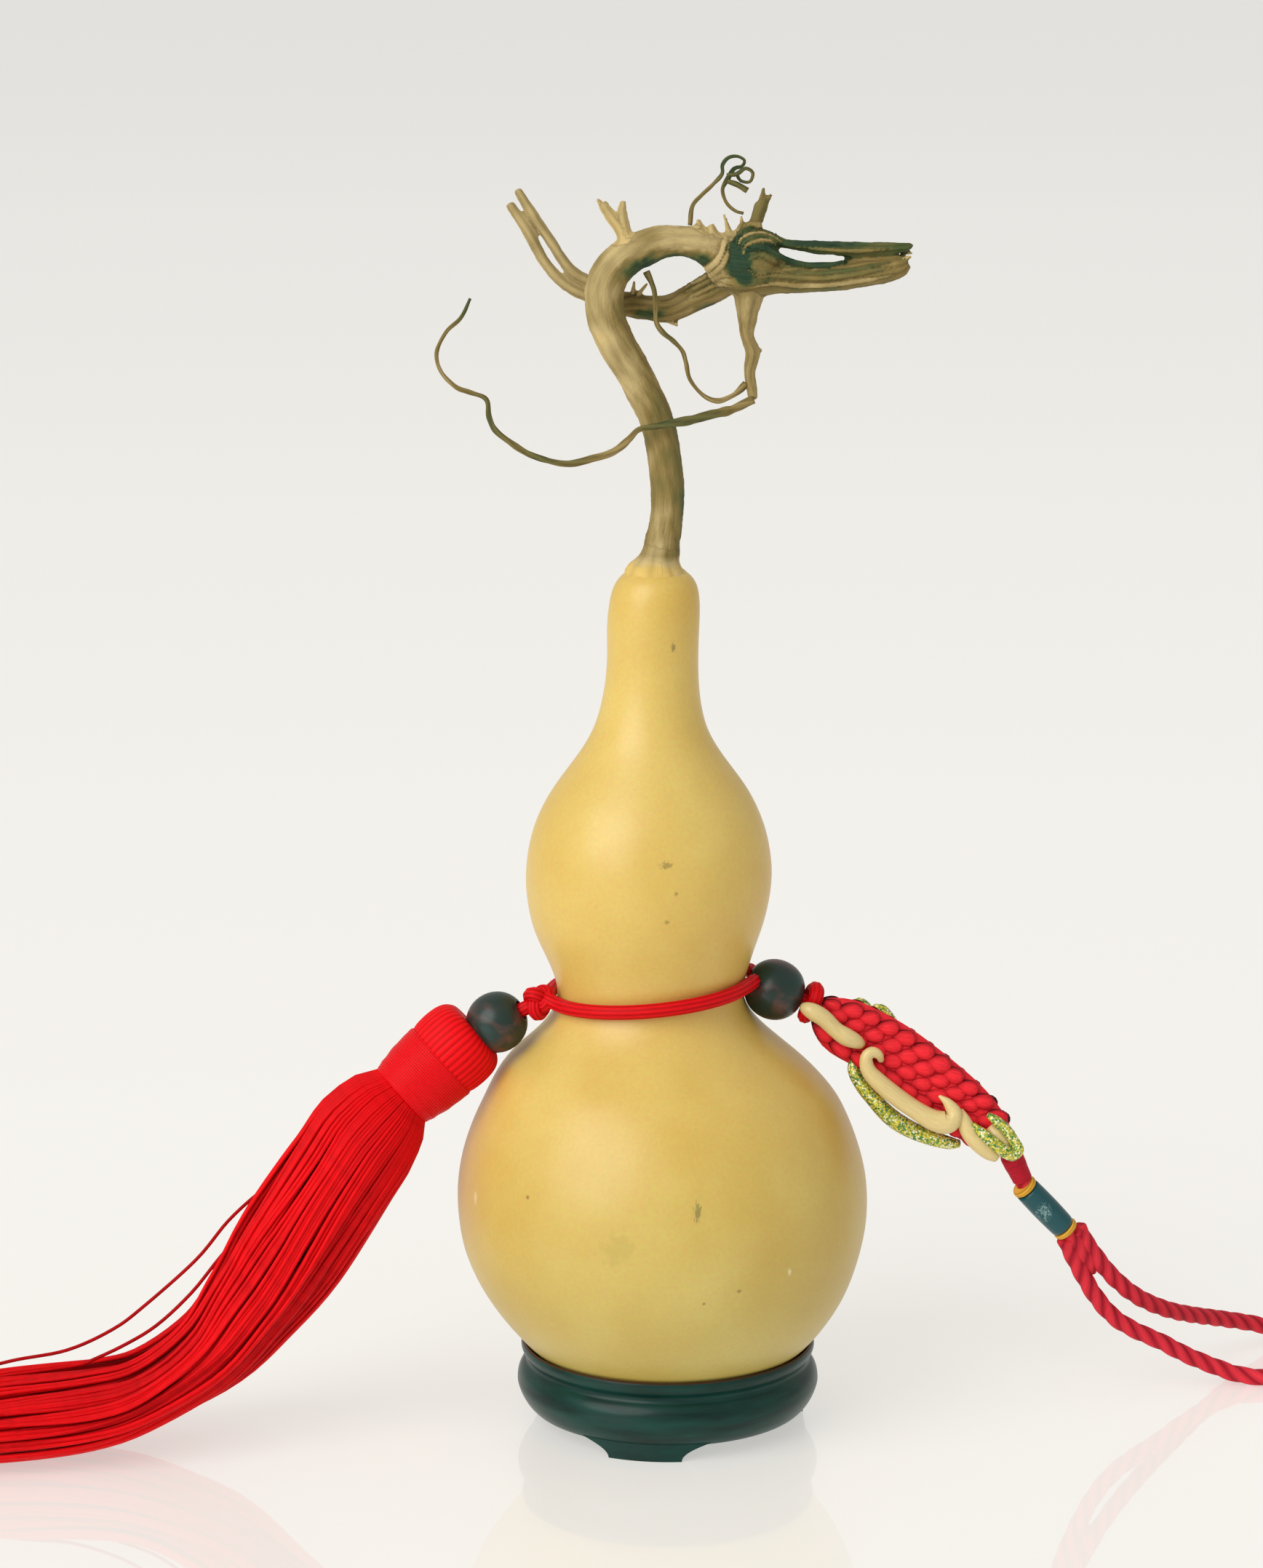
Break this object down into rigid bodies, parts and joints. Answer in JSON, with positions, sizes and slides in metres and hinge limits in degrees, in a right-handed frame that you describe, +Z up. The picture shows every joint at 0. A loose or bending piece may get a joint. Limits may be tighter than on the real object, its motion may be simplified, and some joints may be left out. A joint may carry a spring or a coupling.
{
  "type": "dried bottle gourd on a stand",
  "caption": "Dried double-bulb bottle gourd with arched vine stem and tendrils, standing in a lacquered stand, its waist tied with a red cord, beads, a tassel and a woven charm.",
  "frame": {"origin": "on the surface that the stand's feet rest on, below the middle of the gourd with its stem", "axes": "+Z up along the gourd, -Y towards the front, +X to the side of the woven charm"},
  "size_m": [0.3721, 0.1024, 0.2948],
  "materials": {
    "gourd_shell": "satin",
    "dry_vine": "matte",
    "stand_lacquer": "gloss",
    "red_cord": "satin",
    "tassel_thread": "satin",
    "crimson_braid": "matte",
    "ivory_cord": "satin",
    "gold_green_cord": "satin",
    "yellow_thread": "satin",
    "teal_film": "satin",
    "dark_bead": "polished"
  },
  "bodies": {
    "root": {"gourd_fruit": "gourd_shell", "vine_stem": "dry_vine", "tendril_long": "dry_vine", "tendril_inner": "dry_vine", "tendril_curled": "dry_vine", "stand": "stand_lacquer", "waist_cord_front": "red_cord", "waist_cord_back": "red_cord", "waist_knot": "red_cord", "bead_cord_left": "red_cord", "bead_cord_right": "red_cord", "button_knot": "red_cord", "bead_left": "dark_bead", "bead_right": "dark_bead", "tassel_cap": "tassel_thread", "tassel_band": "tassel_thread", "tassel_skirt": "tassel_thread", "woven_panel": "crimson_braid", "core_cord": "crimson_braid", "red_whipping": "crimson_braid", "hanging_loop": "crimson_braid", "ivory_cord_short": "ivory_cord", "ivory_cord_long": "ivory_cord", "ivory_cord_end": "ivory_cord", "gold_cord_side": "gold_green_cord", "gold_cord_top": "gold_green_cord", "gold_cord_end": "gold_green_cord", "yellow_ring_upper": "yellow_thread", "yellow_ring_lower": "yellow_thread", "teal_sleeve": "teal_film"}
  },
  "joints": []
}
